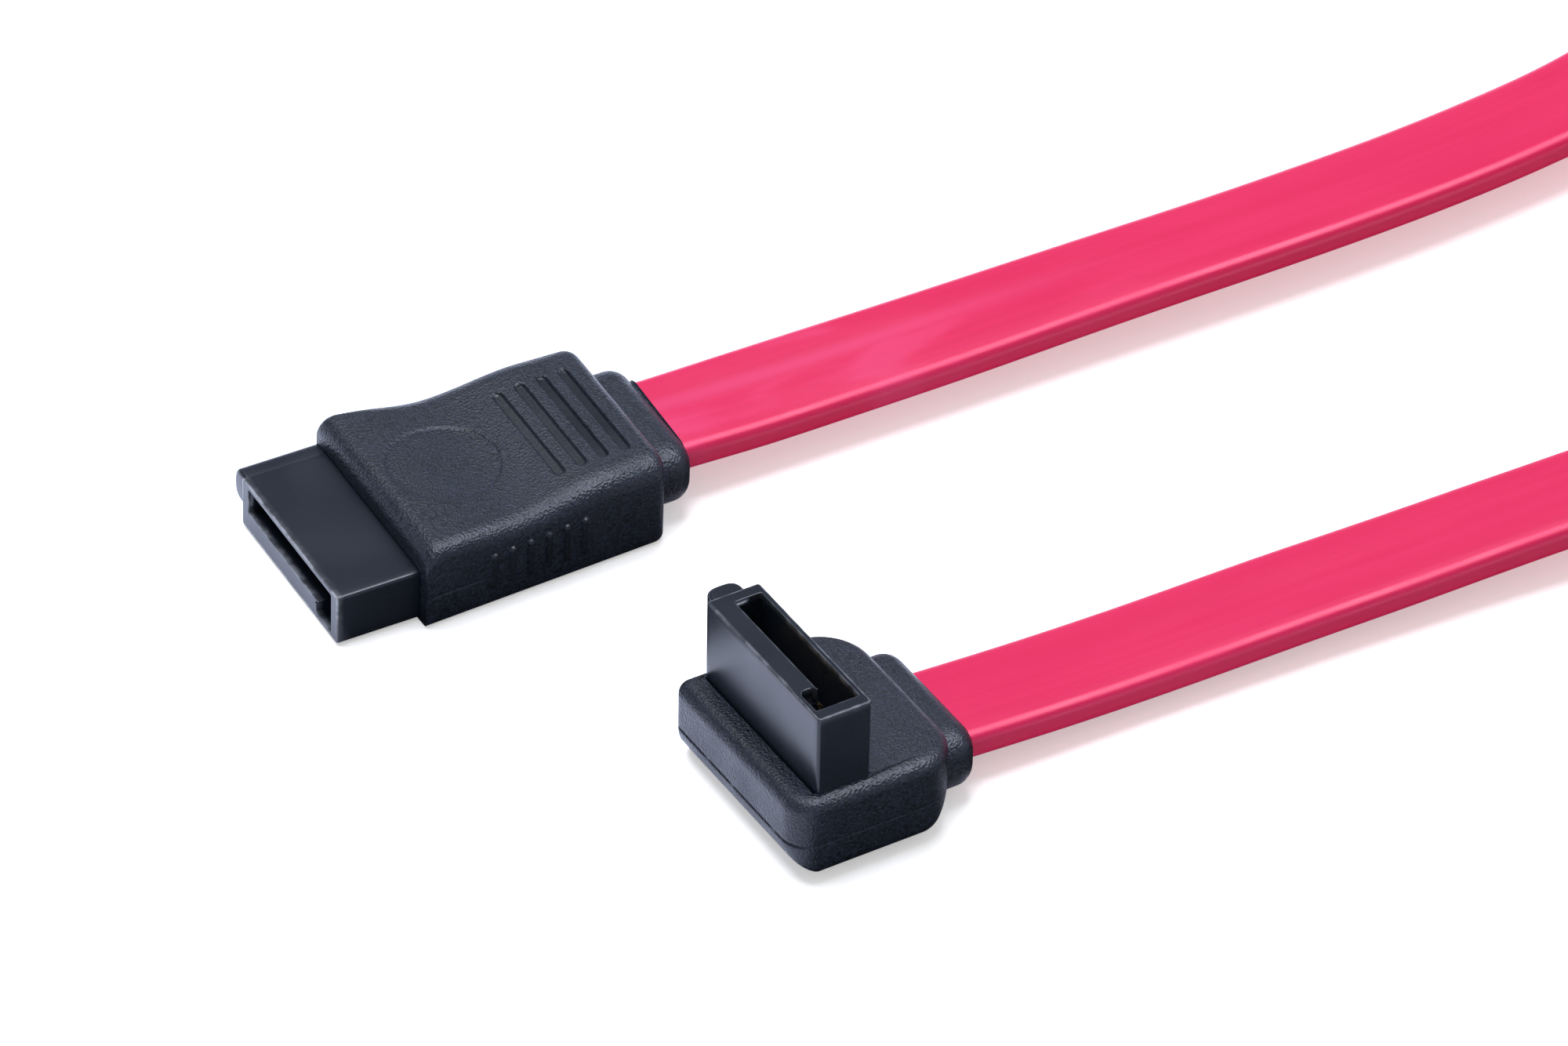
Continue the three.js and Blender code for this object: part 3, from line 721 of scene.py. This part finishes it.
# Sockets go by name, or by number as in0, in1 and so on, and take a value or a link
def addNode(tree, kind, settings=None, **inputs):
    node = tree.nodes.new(kind)
    for key, value in (settings or {}).items():
        setattr(node, key, value)
    for key, value in inputs.items():
        socket = node.inputs[int(key[2:]) if key.startswith("in") else key]
        if isinstance(value, bpy.types.NodeSocket):
            tree.links.new(value, socket)
        else:
            socket.default_value = value
    return node


def mathNode(tree, operation, first, second=0.0, clamp=False):
    return addNode(tree, "ShaderNodeMath", {"operation": operation, "use_clamp": clamp},
                   in0=first, in1=second).outputs[0]


def vectorNode(tree, operation, first, second=(0, 0, 0)):
    return addNode(tree, "ShaderNodeVectorMath", {"operation": operation}, in0=first, in1=second).outputs


def mixColour(tree, factor, first, second):
    node = addNode(tree, "ShaderNodeMix", {"data_type": "RGBA"})
    for socket, value in ((node.inputs[0], factor), (node.inputs[6], first), (node.inputs[7], second)):
        if isinstance(value, bpy.types.NodeSocket):
            tree.links.new(value, socket)
        elif isinstance(value, float):
            socket.default_value = value
        else:
            socket.default_value = (*value, 1)
    return node.outputs[2]


# Eased step from one value to another while the input goes from low to high
def rampNode(tree, value, low, high, outLow=0.0, outHigh=1.0):
    return addNode(tree, "ShaderNodeMapRange", {"interpolation_type": "SMOOTHSTEP"},
                   in0=value, in1=low, in2=high, in3=outLow, in4=outHigh).outputs[0]


def noiseNode(tree, place, scale, detail):
    return addNode(tree, "ShaderNodeTexNoise", Vector=place, Scale=scale, Detail=detail).outputs["Fac"]


def objectPlace(tree):
    return addNode(tree, "ShaderNodeTexCoord").outputs["Object"]


def attributeNode(tree, name):
    return addNode(tree, "ShaderNodeAttribute", {"attribute_name": name}).outputs["Fac"]


# Roughness that wanders with a noise, between the finish's own less and plus its spread
def varyRoughness(tree, shader, noise, finish):
    low, high = (finish["roughness"] + spread for spread in finish["roughSpread"])
    tree.links.new(rampNode(tree, noise, 0.3, 0.7, low, high), shader.inputs["Roughness"])


def addBump(tree, shader, height, finish):
    bump = addNode(tree, "ShaderNodeBump", Strength=finish["bump"], Distance=finish["bumpDepth"],
                   Height=height)
    tree.links.new(bump.outputs[0], shader.inputs["Normal"])


# Makes a material at its first use only, and gives the same one after that
def cached(maker):
    made = {}

    def once():
        if "material" not in made:
            made["material"] = maker()
        return made["material"]
    return once


dust = {
    "scale": 420,
    "share": 0.07,              # of the cells that hold a speck
    "radius": (0.02, 0.04),     # in cells, full and gone
    "colour": (0.45, 0.48, 0.52),
}


# Tiny pale specks over a tone, one in the middle of a few cells
def dusted(tree, place, tone):
    cells = addNode(tree, "ShaderNodeTexVoronoi", Vector=place, Scale=dust["scale"])
    pick = addNode(tree, "ShaderNodeSeparateColor", Color=cells.outputs["Color"]).outputs[0]
    chosen = mathNode(tree, "LESS_THAN", pick, dust["share"])
    speck = rampNode(tree, cells.outputs["Distance"], *dust["radius"], 1.0, 0.0)
    return mixColour(tree, mathNode(tree, "MULTIPLY", chosen, speck), tone, dust["colour"])


gripFinish = {
    "colour": (0.0074, 0.011, 0.0191),
    "mottle": (0.4, 1.9),       # fine lighter and darker flecks, as shares of the colour
    "fleckScale": 4800,
    "roughness": 0.36,
    "roughSpread": (-0.05, 0.07),
    "cloudScale": 260,
    "specular": 0.26,
    "grainScale": 6000,
    "grainSoft": 0.6,
    "fineScale": 10200,
    "fineShare": 0.6,
    "smoothShare": 0.75,        # how much of its grain a smooth place loses
    "bump": 0.9,
    "bumpDepth": 0.055 * mm,
}


# Spark-eroded grain: small round pebbles and finer noise as bump, fading where a face is smooth
@cached
def gripMaterial():
    f = gripFinish
    material, tree, shader = newMaterial("spark-eroded plastic", f)
    place = objectPlace(tree)
    pebbles = addNode(tree, "ShaderNodeTexVoronoi", {"feature": "SMOOTH_F1"}, Vector=place,
                      Scale=f["grainScale"], Smoothness=f["grainSoft"]).outputs["Distance"]
    fine = noiseNode(tree, place, f["fineScale"], 3.0)
    height = mathNode(tree, "ADD", pebbles, mathNode(tree, "MULTIPLY", fine, f["fineShare"]))
    lost = mathNode(tree, "MULTIPLY", attributeNode(tree, "smooth"), f["smoothShare"])
    left = mathNode(tree, "SUBTRACT", 1.0, lost)
    addBump(tree, shader, mathNode(tree, "MULTIPLY", height, left), f)
    low, high = (tuple(c * share for c in f["colour"]) for share in f["mottle"])
    flecks = rampNode(tree, noiseNode(tree, place, f["fleckScale"], 2.0), 0.3, 0.7)
    tone = mixColour(tree, mathNode(tree, "MULTIPLY", flecks, left), low, high)
    tree.links.new(dusted(tree, place, tone), shader.inputs["Base Color"])
    varyRoughness(tree, shader, noiseNode(tree, place, f["cloudScale"], 4.0), f)
    return material


noseFinish = {
    "colour": (0.0075, 0.0112, 0.0195),
    # slightly paler tone, spread at random
    "rubbedAndGlareColour": (0.0085, 0.0125, 0.0212),
    "rubbedScale": 180,
    "scuffAndHighlightColour": (0.4, 0.43, 0.5),
    "scuffAndHighlightScale": 900,
    "scuffAndHighlightShare": (0.2, 0.8),   # least and most of the pale scuffs and painted highlight on a lip
    "roughness": 0.28,
    "roughSpread": (-0.02, 0.04),
    "specular": 0.3,
}


# Smooth satin plastic with pale lips: scuffs where they have rubbed, and a painted highlight along them
@cached
def noseMaterial():
    f = noseFinish
    material, tree, shader = newMaterial("satin plastic", f)
    place = objectPlace(tree)
    broad = noiseNode(tree, place, f["rubbedScale"], 1.0)
    tone = mixColour(tree, rampNode(tree, broad, 0.3, 0.7), f["colour"], f["rubbedAndGlareColour"])
    # Pale lips: patchy scuffs and a painted edge highlight, by the edge value
    scuffAndHighlight = rampNode(tree, noiseNode(tree, place, f["scuffAndHighlightScale"], 2.0), 0.4, 0.65, *f["scuffAndHighlightShare"])
    wearAndHighlight = mathNode(tree, "MULTIPLY", attributeNode(tree, "edge"), scuffAndHighlight, clamp=True)
    tone = mixColour(tree, wearAndHighlight, tone, f["scuffAndHighlightColour"])
    tree.links.new(dusted(tree, place, tone), shader.inputs["Base Color"])
    varyRoughness(tree, shader, broad, f)
    return material


ribbonFinish = {
    "colour": (0.79, 0.017, 0.112),
    "deepColour": (0.76, 0.013, 0.097),
    "rubbedAndGlareColour": (0.85, 0.06, 0.2),
    "rubbedReach": 45 * mm,     # painted pale glare streaks and patches, near the straight plug only
    "rubbedShare": 0.75,
    "glareAt": 0.6 * mm,        # one of them runs along near the middle
    "glareReach": 1.1 * mm,
    "streaks": (28, 1500),      # noise cells to the metre, along the ribbon and across it
    "patches": (75, 260),
    "fineScale": 3500,
    "heights": (0.5, 0.15, 0.05),   # shares of patches, streaks and fine noise in the bump
    "bump": 0.3,
    "bumpDepth": 0.06 * mm,
    "roughness": 0.34,
    "roughSpread": (-0.03, 0.05),
    "specular": 0.38,
}


def ribbonNoise(tree, along, across, cells):
    place = addNode(tree, "ShaderNodeCombineXYZ", X=mathNode(tree, "MULTIPLY", along, cells[0]),
                    Y=mathNode(tree, "MULTIPLY", across, cells[1])).outputs[0]
    return noiseNode(tree, place, 1.0, 3.0)


# Soft jacket: faint streaks that follow the ribbon, a slight unevenness of its gloss, and painted pale
# glare near the straight plug
@cached
def ribbonMaterial():
    f = ribbonFinish
    material, tree, shader = newMaterial("red jacket", f)
    along = attributeNode(tree, "alongRibbon")
    across = attributeNode(tree, "acrossRibbon")
    streak = ribbonNoise(tree, along, across, f["streaks"])
    patch = ribbonNoise(tree, along, across, f["patches"])
    fine = noiseNode(tree, objectPlace(tree), f["fineScale"], 2.0)
    tone = mixColour(tree, rampNode(tree, streak, 0.3, 0.7), f["deepColour"], f["colour"])
    # Painted glare: a pale band along near the middle and pale patches, fading away from the straight plug
    fromGlare = mathNode(tree, "ABSOLUTE", mathNode(tree, "SUBTRACT", across, f["glareAt"]))
    glare = rampNode(tree, fromGlare, 0.0, f["glareReach"], 0.8, 0.0)
    glareSpots = rampNode(tree, patch, 0.5, 0.68, 0.0, 0.7)
    nearPlug = rampNode(tree, along, 0.3 * f["rubbedReach"], f["rubbedReach"], f["rubbedShare"], 0.0)
    rubbed = mathNode(tree, "MULTIPLY", mathNode(tree, "MAXIMUM", glare, glareSpots), nearPlug)
    tree.links.new(mixColour(tree, rubbed, tone, f["rubbedAndGlareColour"]), shader.inputs["Base Color"])
    varyRoughness(tree, shader, patch, f)
    layers = [mathNode(tree, "MULTIPLY", layer, share)
              for layer, share in zip((patch, streak, fine), f["heights"])]
    addBump(tree, shader, mathNode(tree, "ADD", mathNode(tree, "ADD", *layers[:2]), layers[2]), f)
    return material


strapFinish = {
    "colour": (0.012, 0.012, 0.014),
    "roughness": 0.8,
    "specular": 0.3,
    "thread": 0.5 * mm,
    "fuzzScale": 5000,
    "bump": 0.8,
    "bumpDepth": 0.08 * mm,
}


# Black hook-and-loop strap: a fine woven grid, two sines multiplied, with fuzz on it as bump
@cached
def strapMaterial():
    f = strapFinish
    material, tree, shader = newMaterial("woven strap", f)
    place = objectPlace(tree)
    axis = addNode(tree, "ShaderNodeSeparateXYZ", Vector=place).outputs
    turns = 2 * math.pi / f["thread"]
    waves = [mathNode(tree, "SINE", mathNode(tree, "MULTIPLY", axis[i], turns)) for i in (1, 2)]
    weave = mathNode(tree, "MULTIPLY", *waves)
    addBump(tree, shader, mathNode(tree, "ADD", weave, noiseNode(tree, place, f["fuzzScale"], 4.0)), f)
    return material


contactFinish = {
    "colour": (0.86, 0.58, 0.22),
    "roughness": 0.25,
    "roughSpread": (-0.07, 0.09),
    "specular": 0.5,
    "brushScale": 7000,
}


# Gold-plated spring contacts: brushed along the strip
@cached
def contactMaterial():
    f = contactFinish
    material, tree, shader = newMaterial("gold plate", f)
    shader.inputs["Metallic"].default_value = 1.0
    varyRoughness(tree, shader, noiseNode(tree, objectPlace(tree), f["brushScale"], 2.0), f)
    return material


def dressContacts():
    for name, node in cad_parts.items():
        if "contact" in name:
            node.data.materials.clear()
            node.data.materials.append(contactMaterial())


# Table, lamp and background
studio = {
    "tableHalf": 3.0,
    "tableDrop": 0.06 * mm,
    "tableColour": 0.9,
    "tableSeen": 1.55,                      # the camera shows the lit table this much brighter,
    "tableGlow": 0.4,                       # with this on top, up to white
    "tableMirrored": (2.12, 2.27, 2.76),    # and glossy surfaces show it brighter and cooler,
    "cardShade": 0.1,                       # down to this on the painted shadow strips, which glossy surfaces see before the near sides
    "cardSoft": 1.5 * mm,
    "cardUnder": 1.0 * mm,                  # how far a plug's painted shadow strip goes under it
    "cardSpread": 1.35,                     # how far it comes forward, as a share of the plug's height
    "cardSlip": 0.6,                        # and to the right, as a share of that
    "cardReach": 7 * mm,                    # how far the ribbons' painted shadow strips come forward
    "sky": 0.3,
    "horizon": (1.0, 1.05, 1.25),           # the room above it, as glossy surfaces show it
    "horizonFade": (0.06, 0.28),
    "ceiling": (0.43, 0.455, 0.56),
    "windowAt": (0.37, -0.34, 0.86),        # and one bright window high in front on the right,
    "windowShape": (0.45, 1.0, 1.0),        # long from left to right
    "windowEdge": (0.2, 0.42),
    "windowLight": (13, 13.5, 15),
    "lightColour": (0.95, 0.98, 1.05),
    "keyPlace": (-0.04, 0.36, 1.05),
    "keySize": 0.85,
    "keyPower": 12.2,
}


def lightPath(tree):
    path = addNode(tree, "ShaderNodeLightPath").outputs
    clear = mathNode(tree, "MAXIMUM", path["Is Camera Ray"], path["Is Transmission Ray"])
    return clear, path["Is Glossy Ray"]


# 1 from low to high, fading past high. At low it fades inwards, or outwards if outside is set.
def bandNode(tree, value, low, high, outside):
    soft = studio["cardSoft"]
    start = low - soft if outside else low
    return mathNode(tree, "MULTIPLY", rampNode(tree, value, start, start + soft),
                    rampNode(tree, value, high, high + soft, 1.0, 0.0))


# Painted shadow on the table, seen by glossy surfaces only: 1 on a strip before the near side of each plug
# and ribbon, fading at its borders
def paintedShadowStrips(tree):
    axis = addNode(tree, "ShaderNodeSeparateXYZ", Vector=objectPlace(tree)).outputs
    strips = []
    for side in ("straight", "angled"):
        (left, near, _), (right, _, high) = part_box(side + "_overmould")
        mouthLow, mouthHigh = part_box(side + "_nose")
        reach = max(high, mouthHigh[2]) * studio["cardSpread"]
        strips.append((min(left, mouthLow[0]), right + studio["cardSlip"] * reach,
                       near - reach, near + studio["cardUnder"]))
        (left, near, _), (right, far, _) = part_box("ribbon_" + side + "_side")
        strips.append((left, right, near - studio["cardReach"], far))
    shade = 0.0
    for left, right, near, far in strips:
        strip = mathNode(tree, "MULTIPLY", bandNode(tree, axis[0], left, right, False),
                         bandNode(tree, axis[1], near, far, True))
        shade = mathNode(tree, "MAXIMUM", shade, strip)
    return shade


def makeTable():
    half = studio["tableHalf"]
    mesh = bpy.data.meshes.new("table")
    mesh.from_pydata([(-half, -half, 0), (half, -half, 0), (half, half, 0), (-half, half, 0)], [],
                     [(0, 1, 2, 3)])
    mesh.transform(Matrix.Translation((0, 0, -studio["tableDrop"])))
    table = bpy.data.objects.new("table", mesh)
    scene.collection.objects.link(table)
    material = bpy.data.materials.new("white table")
    material.use_nodes = True
    tree = material.node_tree
    tree.nodes.clear()
    level = studio["tableColour"]
    clear, glossy = lightPath(tree)
    seen = mixColour(tree, clear, (level,) * 3, (level * studio["tableSeen"],) * 3)
    # glossy surfaces see the table brighter and cooler, and darkened to a painted shadow on the strips
    mirrored = mixColour(tree, paintedShadowStrips(tree), tuple(level * c for c in studio["tableMirrored"]),
                         (level * studio["cardShade"],) * 3)
    colour = mixColour(tree, glossy, seen, mirrored)
    diffuse = addNode(tree, "ShaderNodeBsdfDiffuse", Color=colour).outputs[0]
    glow = addNode(tree, "ShaderNodeEmission",
                   Strength=mathNode(tree, "MULTIPLY", clear, studio["tableGlow"])).outputs[0]
    both = addNode(tree, "ShaderNodeAddShader", in0=diffuse, in1=glow).outputs[0]
    addNode(tree, "ShaderNodeOutputMaterial", Surface=both)
    mesh.materials.append(material)


# Round soft lamp that points at the origin
def makeLight(name, place, size, power):
    data = bpy.data.lights.new(name, "AREA")
    data.shape = "DISK"
    data.size = size
    data.energy = power
    data.color = studio["lightColour"]
    lamp = bpy.data.objects.new(name, data)
    scene.collection.objects.link(lamp)
    lamp.location = place
    lamp.rotation_euler = (-lamp.location).to_track_quat("-Z", "Y").to_euler()


# Even soft light from all round. Glossy surfaces show it white at the horizon and dimmer
# overhead, with one bright window in it.
def makeWorld():
    world = bpy.data.worlds.new("studio")
    scene.world = world
    world.use_nodes = True
    tree = world.node_tree
    tree.nodes.clear()
    direction = addNode(tree, "ShaderNodeTexCoord").outputs["Generated"]
    height = addNode(tree, "ShaderNodeSeparateXYZ", Vector=direction).outputs[2]
    overhead = rampNode(tree, height, *studio["horizonFade"])
    room = mixColour(tree, overhead, studio["horizon"], studio["ceiling"])
    away = vectorNode(tree, "SUBTRACT", direction, studio["windowAt"])[0]
    away = vectorNode(tree, "MULTIPLY", away, studio["windowShape"])[0]
    away = vectorNode(tree, "LENGTH", away)["Value"]
    window = rampNode(tree, away, *studio["windowEdge"], 1.0, 0.0)
    room = mixColour(tree, window, room, studio["windowLight"])
    clear, glossy = lightPath(tree)
    colour = mixColour(tree, clear, (studio["sky"],) * 3, (1.0, 1.0, 1.0))
    colour = mixColour(tree, glossy, colour, room)
    light = addNode(tree, "ShaderNodeBackground", Color=colour).outputs[0]
    addNode(tree, "ShaderNodeOutputWorld", Surface=light)


makeCamera()
cordPiece, cordLine, cordLength = makeRibbon()
strapPiece = makeStrap()
noseLift = Matrix.Translation((0, 0, straightGrip["noseLift"]))
makeNose("straight_mouth", "straight_nose", straightPlace @ noseLift, nose["straight"])
noseUp = Matrix.Translation((0, 0, angledBase["height"] + nose["angled"]["reach"]))
mouthUp = Matrix.Rotation(math.radians(90), 4, "Y")
makeNose("angled_mouth", "angled_nose", angledPlace @ noseUp @ mouthUp, nose["angled"])
makeStraightGrip()
makeAngledBase()
dressContacts()
print("pieces made")
makeTable()
makeLight("key", studio["keyPlace"], studio["keySize"], studio["keyPower"])
makeWorld()
scene.view_settings.view_transform = "Standard"
print("studio made")
